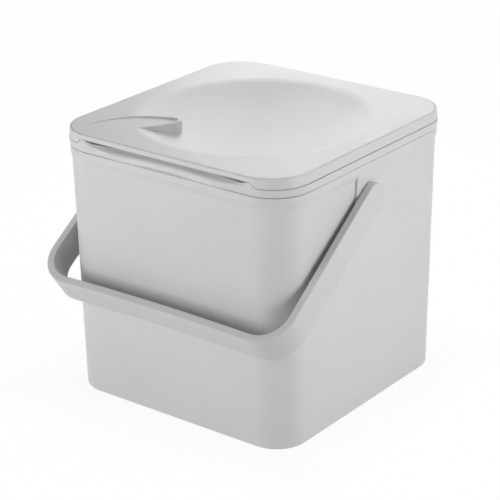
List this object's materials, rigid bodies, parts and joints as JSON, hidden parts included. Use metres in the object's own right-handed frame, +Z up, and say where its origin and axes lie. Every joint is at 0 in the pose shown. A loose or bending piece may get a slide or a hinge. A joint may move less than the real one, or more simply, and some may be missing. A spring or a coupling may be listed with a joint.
{
  "type": "countertop food waste caddy",
  "caption": "Square countertop bucket for food waste, with a dished lid hinged on a lift-off ring that holds the bag, and a flat strap handle that swings over the top.",
  "frame": {"origin": "centre of the flat base that the caddy stands on", "axes": "+Z up, the front with the handle's grip and the finger recess faces -Y, the handle's pivots lie along X, and the lid's hinge is at +Y"},
  "size_m": [0.1952, 0.2092, 0.1805],
  "materials": {
    "bucket_plastic": "satin, light grey",
    "ring_plastic": "satin, light grey",
    "lid_plastic": "satin, light grey",
    "pin_plastic": "satin, light grey",
    "handle_plastic": "satin, slightly warmer light grey"
  },
  "bodies": {
    "bucket": {"caddy_body": "bucket_plastic"},
    "ring": {"liner_ring": "ring_plastic", "hinge_pin_left": "pin_plastic", "hinge_pin_right": "pin_plastic"},
    "lid": {"lid_frame": "lid_plastic", "lid_cover": "lid_plastic"},
    "handle": {"handle": "handle_plastic"}
  },
  "joints": [
    {"name": "ring_lift", "type": "slide", "parent": "bucket", "child": "ring", "axis": [0, 0, 1], "range_m": [0, 0.06]},
    {"name": "lid_hinge", "type": "hinge", "parent": "ring", "child": "lid", "pos_m": [0, 0.0973, 0.17112], "axis": [-1, 0, 0], "range_deg": [0, 105]},
    {"name": "handle_swing", "type": "hinge", "parent": "bucket", "child": "handle", "pos_m": [0, -0.00375, 0.1456], "axis": [-1, 0, 0], "range_deg": [-2.3, 246.7]}
  ]
}
